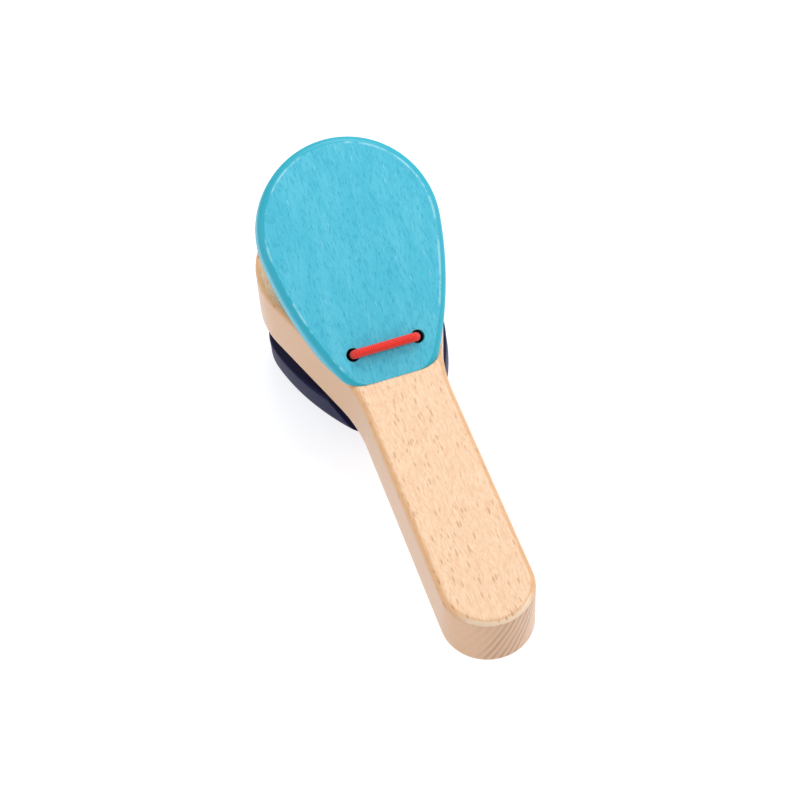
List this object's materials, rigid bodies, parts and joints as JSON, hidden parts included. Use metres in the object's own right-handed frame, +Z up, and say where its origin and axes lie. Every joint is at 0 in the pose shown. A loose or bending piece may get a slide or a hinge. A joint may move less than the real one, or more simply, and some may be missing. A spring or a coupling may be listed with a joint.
{
  "type": "handled castanets",
  "caption": "Handled wooden castanets: a paddle-shaped handle with a bevelled clapper on each face, held by an elastic loop so that they clap when shaken.",
  "frame": {"origin": "middle of the object's footprint, on the table that it lies on", "axes": "+Y from the end of the handle towards the head, +Z up from the table, +X across the head to the right"},
  "size_m": [0.0592, 0.1722, 0.0856],
  "materials": {
    "beech": "steamed beech, fine sanded and satin lacquered",
    "turquoise_paint": "beech with thin turquoise paint, satin",
    "navy_paint": "beech with dark navy paint, satin",
    "red_elastic": "braided round elastic"
  },
  "bodies": {
    "paddle": {"paddle": "beech", "elastic_legs": "red_elastic"},
    "upper_clapper": {"upper_clapper": "turquoise_paint", "elastic_upper_loop": "red_elastic"},
    "lower_clapper": {"lower_clapper": "navy_paint", "elastic_lower_loop": "red_elastic"}
  },
  "joints": [
    {"name": "upper_clap", "type": "hinge", "parent": "paddle", "child": "upper_clapper", "pos_m": [0, 0.01907, 0.03662], "axis": [-1, 0, 0], "range_deg": [0, 35], "stiffness_Nm_per_rad": 0.06, "springref_deg": -18.91},
    {"name": "lower_clap", "type": "hinge", "parent": "paddle", "child": "lower_clapper", "pos_m": [0, 0.02225, 0.01566], "axis": [1, 0, 0], "range_deg": [-19.5, 15.5], "stiffness_Nm_per_rad": 0.06, "springref_deg": -38.39}
  ]
}
